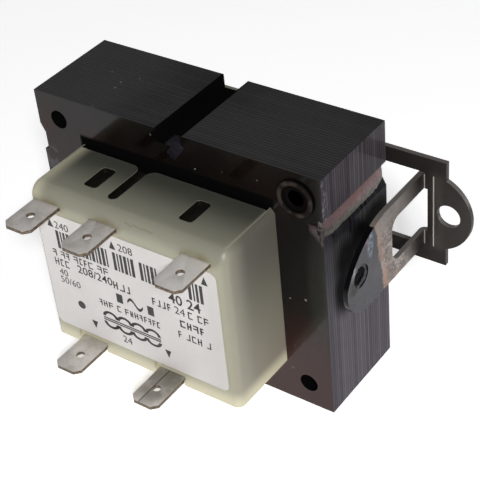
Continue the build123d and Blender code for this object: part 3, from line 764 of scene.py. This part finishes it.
# Stains and painted shade where the blades come out, and a scratched mark on the front of the roof
root_stain_places = []
for name in ("primary_blade_left", "primary_blade_middle", "primary_blade_right", "secondary_blade_left",
             "secondary_blade_right"):
    low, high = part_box(name)
    root_z = high.z if low.z > cover_low.z else low.z
    root_stain_places.append(((low.x + high.x) / 2, cover_front, root_z - 0.2 * mm))
root_stain_and_shade = highest(tree, *(patch_at(tree, spot, centre, (5.4, 3.2, 2.2)) for centre in root_stain_places))
root_stain_and_shade = times(tree, root_stain_and_shade, blotches(tree, spot, 420.0, 4.0, 0.35, 0.6, 0.25, 0.85))
colour = blend(tree, root_stain_and_shade, colour, tint(118, 108, 78))
mark_wave = sums(tree, "MULTIPLY_ADD", noise(tree, spot, 900.0, 2.0, (1.0, 0.0, 0.0)), 1.4 * mm, where["Z"])
mark = times(
    tree, ramp(tree, away(tree, mark_wave, cover_high.z - 0.55 * mm), 0.16 * mm, 0.05 * mm),
    ramp(tree, away(tree, where["X"], 3.6 * mm), 3.6 * mm, 3.0 * mm),
    ramp(tree, where["Y"], cover_front + 4 * mm, cover_front + 3 * mm), 0.55,
)
attach(tree, shader, {
    "Base Color": blend(tree, mark, colour, tint(112, 106, 84)), "Subsurface Weight": 0.12,
    "Subsurface Radius": (1.0, 0.85, 0.55), "Subsurface Scale": 1.6 * mm,
    "Roughness": blotches(tree, spot, 60.0, 3.0, 0.3, 0.7, 0.34, 0.46),
})
mould_grain = noise(tree, spot, 2200.0, 2.0)
mould_swell = sums(tree, "MULTIPLY_ADD", noise(tree, spot, 110.0, 2.0), 6.0, mould_grain)
relief(tree, shader, mould_swell, 0.25, 0.04 * mm)
settle(rounded_copy("front_cover", "cap_front", 0.12 * mm), "cover_nylon", cover_nylon, "front_cover")
settle(rounded_copy("rear_cover", "cap_rear", 0.12 * mm), "cover_nylon", cover_nylon, "rear_cover")

# The blades.
# Five quick-connect tabs, stamped from tinned brass strip. The tin is dull and stained, and the
# sheared edges show the brass. Each stands on a narrow leg on the rail of the bobbin.
blade_width = 6.35 * mm
blade_thickness = 0.8 * mm
leg_width = 2.4 * mm
tip_chamfer = 1.2 * mm
hole_radius = 0.825 * mm
hole_to_tip = 4.75 * mm
score_from_middle = -0.85 * mm

tinned, tree, shader, place = finish("tinned_blade")
spot = place["Object"]
stain = noise(tree, spot, 330.0, 5.0)
tin_grain = noise(tree, spot, 2600.0, 3.0)
rolled = noise(tree, spot, 500.0, 3.0, (6.0, 1.0, 1.0))
tin = blend(tree, ramp(tree, stain, 0.40, 0.70), tint(213, 208, 202), tint(190, 184, 176))
tin = blend(tree, ramp(tree, rolled, 0.55, 0.75, 0.0, 0.4), tin, tint(216, 212, 207))
tin = blend(tree, ramp(tree, tin_grain, 0.60, 0.72, 0.0, 0.5), tin, tint(150, 140, 130))
scored_middle = sum(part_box("secondary_blade_right"), Vector()) / 2
bright_middle = sum(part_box("primary_blade_right"), Vector()) / 2
whole_blade = (8, 12, 6)
dull = ramp(tree, patch_at(tree, spot, scored_middle, whole_blade), 0.0, 0.3)
dull = times(tree, dull, ramp(tree, stain, 0.3, 0.5, 0.6, 0.9))
tin = blend(tree, dull, tin, tint(134, 129, 120))
bright = ramp(tree, patch_at(tree, spot, bright_middle, whole_blade), 0.0, 0.3, 0.0, 0.6)
tin = blend(tree, bright, tin, tint(238, 234, 228))
score_gap = away(tree, split(tree, spot)["X"], scored_middle.x + score_from_middle)
tin = blend(tree, ramp(tree, score_gap, 0.17 * mm, 0.07 * mm, 0.0, 0.85), tin, tint(56, 50, 45))
sheared = ramp(tree, away(tree, split(tree, place["Normal"])["Z"]), 0.80, 0.45)
brass = blend(tree, ramp(tree, tin_grain, 0.4, 0.6), tint(112, 98, 82), tint(76, 66, 56))
attach(tree, shader, {
    "Base Color": blend(tree, sheared, tin, brass), "Metallic": 0.35,
    "Roughness": ramp(tree, stain, 0.3, 0.7, 0.40, 0.55),
})
relief(tree, shader, sums(tree, "ADD", tin_grain, rolled), 0.35, 0.04 * mm)


def block(size, place):
    """A box with its size and its place in its mesh."""
    bpy.ops.mesh.primitive_cube_add(size=1.0)
    made = bpy.context.active_object
    made.scale = size
    made.location = place
    bpy.ops.object.transform_apply(location=True, rotation=True, scale=True)
    return made


def quick_blade(node_name, name, score=False):
    """A tab with a chamfered tip and a lock hole, on a leg that runs along the bobbin's rail."""
    low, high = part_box(node_name)
    lower_row = "secondary" in node_name
    plate_z = low.z + blade_thickness / 2 if lower_row else high.z - blade_thickness / 2
    middle_x = (low.x + high.x) / 2
    tip_y = low.y
    root_y = high.y - blade_thickness
    tab = block((blade_width, root_y - tip_y, blade_thickness), (middle_x, (tip_y + root_y) / 2, plate_z))
    tab.name = name

    def tip_corner(edge):
        """Whether an edge is one of the two upright ones at the tip."""
        a, b = edge.verts
        return abs(a.co.z - b.co.z) > 0.5 * blade_thickness and max(a.co.y, b.co.y) < tip_y + 0.01 * mm

    bpy.ops.object.mode_set(mode="EDIT")
    pick(tab, "EDGE", tip_corner)
    bpy.ops.mesh.bevel(offset=tip_chamfer, segments=1)
    if score:
        score_x = middle_x + score_from_middle
        for shift in (-0.12 * mm, 0.0, 0.12 * mm):
            bpy.ops.mesh.select_all(action="SELECT")
            bpy.ops.mesh.bisect(plane_co=(score_x + shift, 0, 0), plane_no=(1, 0, 0), threshold=1e-7)
        pick(tab, "VERT", lambda vertex: abs(vertex.co.x - score_x) < 0.01 * mm and vertex.co.z > plate_z)
        bpy.ops.transform.translate(value=(0, 0, -0.08 * mm))
    bpy.ops.object.mode_set(mode="OBJECT")
    bpy.ops.mesh.primitive_cylinder_add(
        vertices=48, radius=hole_radius, depth=3 * blade_thickness,
        location=(middle_x, tip_y + hole_to_tip, plate_z),
    )
    drill = bpy.context.active_object
    modified(tab, "BOOLEAN", operation="DIFFERENCE", object=drill)
    bpy.data.objects.remove(drill)
    modified(tab, "BEVEL", width=0.10 * mm, segments=2, limit_method="ANGLE", angle_limit=math.radians(40))
    bpy.ops.object.shade_smooth_by_angle(angle=math.radians(35))

    leg_low = plate_z - blade_thickness / 2 if lower_row else low.z
    leg_high = high.z if lower_row else plate_z + blade_thickness / 2
    leg_place = (middle_x, high.y - blade_thickness / 2, (leg_low + leg_high) / 2)
    leg = block((leg_width, blade_thickness, leg_high - leg_low), leg_place)
    bpy.ops.object.mode_set(mode="EDIT")
    bpy.ops.mesh.select_all(action="SELECT")
    bpy.ops.mesh.bevel(offset=0.08 * mm, segments=2)
    bpy.ops.object.mode_set(mode="OBJECT")
    settle(join(name, [tab, leg]), "tinned_blade", tinned, node_name)


quick_blade("primary_blade_left", "tab_upper_left")
quick_blade("primary_blade_middle", "tab_upper_middle")
quick_blade("primary_blade_right", "tab_upper_right")
quick_blade("secondary_blade_left", "tab_lower_left")
quick_blade("secondary_blade_right", "tab_lower_right", score=True)

# The label.
# A white paper label is stuck on the face of the front cap. It carries plain numbers for the
# voltages, pointers to the blades, rows of bars and strokes, and the sign for a transformer.
label_paper, tree, shader, place = finish("label_paper")
spot = place["Object"]
paper = noise(tree, spot, 1200.0, 4.0)
shade_cloud = noise(tree, spot, 50.0, 3.0)
colour = blend(tree, ramp(tree, shade_cloud, 0.35, 0.65), tint(204, 200, 197), tint(197, 193, 190))
colour = blend(tree, ramp(tree, paper, 0.55, 0.75, 0.0, 0.25), colour, tint(190, 185, 180))
right_shade = ramp(tree, split(tree, spot)["X"], 14 * mm, 19.5 * mm, 0.0, 0.7)
attach(tree, shader, {
    "Base Color": blend(tree, right_shade, colour, tint(186, 182, 179)),
    "Roughness": ramp(tree, paper, 0.3, 0.7, 0.42, 0.55),
})
relief(tree, shader, sums(tree, "MULTIPLY_ADD", shade_cloud, 5.0, paper), 0.2, 0.03 * mm)
dress(label_paper, "label")

label_ink, tree, shader, place = finish("label_ink")
ink_wear = noise(tree, place["Object"], 1500.0, 4.0)
attach(tree, shader, {
    "Base Color": blend(tree, ramp(tree, ink_wear, 0.56, 0.72), tint(20, 18, 20), tint(62, 58, 58)),
    "Roughness": ramp(tree, ink_wear, 0.3, 0.7, 0.35, 0.5),
})

label_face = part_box("label")[0].y
ink_depth = 0.02 * mm
upright = (math.radians(90), 0, 0)
print_pieces = []


def ink_polygon(corners, x, z, size):
    """Prints a flat shape with the given corners, at a place and of a size in millimetres."""
    bpy.ops.mesh.primitive_circle_add(vertices=len(corners), radius=1.0, fill_type="NGON")
    shape = bpy.context.active_object
    for vertex, (across, up) in zip(shape.data.vertices, corners):
        vertex.co = (across * size[0] * mm, up * size[1] * mm, 0)
    bpy.ops.object.mode_set(mode="EDIT")
    bpy.ops.mesh.select_all(action="SELECT")
    bpy.ops.mesh.extrude_region_move(TRANSFORM_OT_translate={"value": (0, 0, ink_depth)})
    bpy.ops.mesh.select_all(action="SELECT")
    bpy.ops.mesh.normals_make_consistent(inside=False)
    bpy.ops.object.mode_set(mode="OBJECT")
    shape.rotation_euler = upright
    shape.location = (x * mm, label_face, z * mm)
    print_pieces.append(shape)


def ink_bar(x, z, width, height):
    """Prints a bar."""
    ink_polygon(((-0.5, -0.5), (0.5, -0.5), (0.5, 0.5), (-0.5, 0.5)), x, z, (width, height))


def ink_number(digits, x, z, height, weight=0.0):
    """Prints figures from their left edge, on the middle height z, in millimetres."""
    bpy.ops.object.text_add()
    words = bpy.context.active_object
    words.data.body = digits
    words.data.size = height * mm / 0.70
    words.data.offset = weight * mm
    words.data.resolution_u = 3
    words.data.extrude = ink_depth
    words.data.align_y = "CENTER"
    bpy.ops.object.convert(target="MESH")
    words = bpy.context.active_object
    words.rotation_euler = upright
    words.location = (x * mm, label_face, z * mm)
    print_pieces.append(words)


def ink_strokes(x, x_to, z, height, thick, seed):
    """Prints a row of small upright and level strokes, like a line of print too small to read."""
    draw = random.Random(seed)
    half = (height - thick) / 2
    while x < x_to:
        width = height * draw.choice((0.45, 0.6, 0.7))
        shape = draw.randrange(5)
        if shape in (0, 2, 3):
            ink_bar(x + thick / 2, z, thick, height)
        if shape in (1, 2, 4):
            ink_bar(x + width - thick / 2, z, thick, height)
        for shapes, rise in (((0, 3, 4), half), ((1, 3), -half), ((0, 2, 4), 0.0)):
            if shape in shapes:
                ink_bar(x + width / 2, z + rise, width, thick)
        x += width + height * draw.choice((0.25, 0.25, 0.25, 0.7))


for pointer_x, pointer_z, tip in (
    (-18.6, 38.8, 0.5), (-3.2, 39.0, 0.5), (18.1, 38.8, 0.5), (-11.5, 16.0, -0.5), (6.9, 16.3, -0.5),
):
    ink_polygon(((-0.5, -tip), (0.5, -tip), (0.0, tip)), pointer_x, pointer_z, (1.5, 1.9))
for number_row in (
    ("240", -17.6, 38.6, 1.7), ("208", -1.9, 38.9, 1.7), ("24", -4.6, 15.3, 1.7),
    ("208/240", -13.6, 29.3, 1.9, 0.02), ("40", -18.7, 26.8, 1.6), ("50/60", -18.8, 24.9, 1.6),
    ("24", 10.0, 28.8, 1.8), ("40 24", 9.0, 31.4, 2.3, 0.04),
):
    ink_number(*number_row)
for stroke_row in (
    (-19.4, -6.0, 31.5, 1.6, 0.26, 11), (-19.3, -15.4, 29.3, 1.7, 0.26, 12), (-4.6, -1.0, 29.0, 1.8, 0.3, 13),
    (-9.1, 5.9, 23.0, 1.5, 0.26, 14), (4.8, 8.8, 28.8, 1.7, 0.28, 15), (13.2, 17.6, 28.8, 1.7, 0.28, 16),
    (11.0, 16.6, 25.9, 1.7, 0.34, 17), (10.2, 18.0, 23.0, 1.6, 0.26, 18),
):
    ink_strokes(*stroke_row)
bar_rhythm = (0.70, 0.35, 0.55, 0.70, 0.35)
bar_gap = 0.34
bar_row_z = 35.15
bar_height = 4.3
for bar_x, field_end in ((-17.6, -4.9), (-3.5, 1.6), (2.9, 7.2), (14.1, 17.4)):
    count = 0
    while bar_x < field_end - 0.3:
        bar_width = bar_rhythm[count % len(bar_rhythm)]
        ink_bar(bar_x + bar_width / 2, bar_row_z, bar_width, bar_height)
        bar_x += bar_width + bar_gap
        count += 1
dot = [(math.cos(turn * math.pi / 12), math.sin(turn * math.pi / 12)) for turn in range(24)]
ink_polygon(dot, -14.3, 19.9, (0.95, 0.95))

# The sign for a transformer: two coils of four half rings, with the core's two lines between them
half_ring = [(math.cos(step * math.pi / 10), math.sin(step * math.pi / 10)) for step in range(11)]
half_ring += [(0.62 * across, 0.62 * up) for across, up in reversed(half_ring)]
for coil_z, turned in (
    (19.7, half_ring), (18.3, [(across, -up) for across, up in reversed(half_ring)]),
):
    for number in range(4):
        ink_polygon(turned, -6.9 + 3.5 * number, coil_z, (1.95, 1.5))
for line_z in (19.25, 18.75):
    ink_bar(-1.65, line_z, 14.2, 0.3)

# The mark above it: the sign for an alternating supply between two solid blocks
wave = [(step / 8 - 1, 0.55 * math.sin(step / 8 * math.pi)) for step in range(17)]
wave += [(across, up - 0.42) for across, up in reversed(wave)]
ink_polygon(wave, 0.2, 26.2, (1.9, 1.7))
ink_bar(-3.6, 25.9, 1.5, 2.2)
ink_bar(4.0, 25.9, 1.5, 2.2)
settle(join("label_print", print_pieces), "label_paper", label_ink)

# The bracket.
# One stamping of plain steel is welded behind the core, with a tongue bent forward beside it. The
# tip of the tongue was dipped with the core, and the heat left a copper band behind the varnish.
tongue_outer_x = core_half + 8.05 * mm
tongue_middle_z = 38.3 * mm
tongue_hole_y = -11.77 * mm
bend_highlights_x = (41.45 * mm, 43.35 * mm)
dip_edge = -5.4 * mm

bracket_steel, tree, shader, place = finish("bracket_steel")
spot = place["Object"]
where = split(tree, spot)
facing = split(tree, place["Normal"])
from_middle = away(tree, where["Z"], tongue_middle_z)
rust = noise(tree, spot, 420.0, 5.0)
broad = noise(tree, spot, 110.0, 3.0)
scratches = noise(tree, spot, 1100.0, 3.0, (1.0, 0.12, 1.0))
pits = noise(tree, spot, 2400.0, 3.0)

# The plate behind the core: dark steel, darker in its web and on its ear
plate_steel = blend(tree, ramp(tree, broad, 0.35, 0.65), tint(70, 66, 64), tint(82, 78, 75))
plate_steel = blend(tree, ramp(tree, pits, 0.55, 0.7, 0.0, 0.4), plate_steel, tint(58, 54, 52))
web = highest(
    tree, ramp(tree, from_middle, 7 * mm, 9.5 * mm), ramp(tree, where["X"], 44.2 * mm, 42.2 * mm)
)
plate_steel = blend(tree, times(tree, web, 0.8), plate_steel, tint(54, 50, 48))
ear = ramp(tree, where["X"], 44.4 * mm, 46.0 * mm, 0.0, 0.6)
plate_steel = blend(tree, ear, plate_steel, tint(62, 58, 56))

# The tongue: scoured and pitted
scoured = blend(tree, ramp(tree, rust, 0.38, 0.60), tint(148, 139, 134), tint(122, 111, 106))
scoured = blend(tree, ramp(tree, scratches, 0.56, 0.72, 0.0, 0.5), scoured, tint(176, 168, 163))
scoured = blend(tree, blotches(tree, spot, 1900.0, 2.0, 0.56, 0.66, 0.0, 0.65), scoured, tint(76, 67, 63))
scoured = blend(tree, ramp(tree, pits, 0.56, 0.66, 0.0, 0.6), scoured, tint(190, 180, 172))
upper_arm = ramp(tree, where["Z"], 41.5 * mm, 44.5 * mm, 0.0, 0.8)
scoured = blend(tree, upper_arm, scoured, tint(134, 128, 124))
# Painted shade: the tongue is darker towards its bend into the plate
bend_painted_shade = ramp(tree, where["Y"], 1 * mm, 7 * mm, 0.0, 0.75)
scoured = blend(tree, bend_painted_shade, scoured, tint(86, 80, 77))
metal = blend(tree, ramp(tree, where["Y"], 9.5 * mm, 5.5 * mm), plate_steel, scoured)

# The copper band, and the varnish of the tip with its glints and a smear
edge_line = sums(tree, "SUBTRACT", where["Z"], tongue_middle_z)
edge_line = wander(tree, sums(tree, "MULTIPLY_ADD", edge_line, 0.16, where["Y"]), rust, 2.2 * mm)
varnished = ramp(tree, edge_line, dip_edge + 0.25 * mm, dip_edge - 0.25 * mm)
copper_band = times(
    tree, ramp(tree, edge_line, dip_edge + 2.3 * mm, dip_edge + 0.7 * mm),
    blotches(tree, spot, 300.0, 3.0, 0.42, 0.60, 0.25, 1.0), ramp(tree, pits, 0.35, 0.55, 0.4, 1.0),
)
metal = blend(tree, copper_band, metal, tint(164, 121, 94))
varnish = blend(tree, ramp(tree, broad, 0.35, 0.65), tint(56, 56, 60), tint(69, 69, 74))
# Painted shade: the varnish is darker towards the lower end of the tip
low_tip_painted_shade = ramp(tree, where["Z"], 36 * mm, 32.5 * mm, 0.0, 0.5)
varnish = blend(tree, low_tip_painted_shade, varnish, tint(48, 48, 52))
for glint_y, glint_z, reach, glint in (
    (-8.4, 43.0, (2, 1.3, 3.6), tint(126, 136, 150)), (-9.6, 45.0, (2, 1.0, 2.2), tint(112, 90, 98)),
    (-14.5, 41.4, (2, 1.5, 2.6), tint(146, 146, 150)),
):
    mask = patch_at(tree, spot, (tongue_outer_x, glint_y * mm, glint_z * mm), reach)
    mask = times(tree, mask, blotches(tree, spot, 1100.0, 4.0, 0.30, 0.75))
    varnish = blend(tree, mask, varnish, glint)
smear = patch_at(tree, spot, (tongue_outer_x, -14.2 * mm, 37.2 * mm), (3, 2.2, 2.4))
smear = times(tree, smear, blotches(tree, spot, 700.0, 3.0, 0.40, 0.50))
varnish = blend(tree, smear, varnish, tint(18, 17, 18))
# Painted shade: the rim of the tip, which faces away, is painted nearly black
tip_rim_painted_shade = ramp(tree, away(tree, facing["X"]), 0.90, 0.55)
varnish = blend(tree, tip_rim_painted_shade, varnish, tint(15, 14, 16))
metal = blend(tree, varnished, metal, varnish)

# Bare cut edges, also lighter as a painted highlight, and two painted highlight lines where the plate was
# bent
cut_edge_and_highlight = times(tree, ramp(tree, away(tree, facing["Z"]), 0.30, 0.55), rest(tree, varnished), 0.7)
colour = blend(tree, cut_edge_and_highlight, metal, tint(160, 154, 148))
bend_highlights = times(
    tree, highest(tree, *(
        ramp(tree, away(tree, where["X"], line_x), 0.17 * mm, 0.06 * mm) for line_x in bend_highlights_x
    )),
    ramp(tree, from_middle, 8.2 * mm, 7.8 * mm), ramp(tree, where["Y"], 9.6 * mm, 10.2 * mm),
    ramp(tree, facing["Y"], -0.2, -0.5),
)
attach(tree, shader, {
    "Base Color": blend(tree, bend_highlights, colour, tint(214, 206, 198)), "IOR": 1.25,
    "Metallic": sums(tree, "SUBTRACT", 0.75, times(tree, varnished, 0.55)),
    "Roughness": between(tree, varnished, sums(tree, "MULTIPLY_ADD", rust, 0.25, 0.32), 0.24),
})
height = sums(tree, "MULTIPLY_ADD", scratches, 0.8, sums(tree, "ADD", rust, pits))
height = times(tree, height, rest(tree, times(tree, varnished, 0.7)))
relief(tree, shader, height, 0.45, 0.09 * mm)

# The dip left a ragged collar of varnish in the hole of the tongue
bpy.ops.mesh.primitive_torus_add(
    major_segments=72, minor_segments=16, major_radius=2.30 * mm, minor_radius=0.62 * mm,
    rotation=(0, math.radians(90), 0),
)
collar = bpy.context.active_object
collar.name = "hole_collar"
bpy.ops.object.transform_apply(location=False, rotation=True, scale=False)
collar.scale = (0.6, 1.0, 1.0)
bpy.ops.object.transform_apply(location=False, rotation=False, scale=True)
roughened(collar, 0.9 * mm, 0.8 * mm)
bracket = rounded_copy("mounting_bracket", "bracket_plate", 0.14 * mm)
collar.location = (tongue_outer_x - 0.55 * mm, tongue_hole_y, tongue_middle_z)
settle(join("bracket", [bracket, collar]), "bracket_steel", bracket_steel, "mounting_bracket")
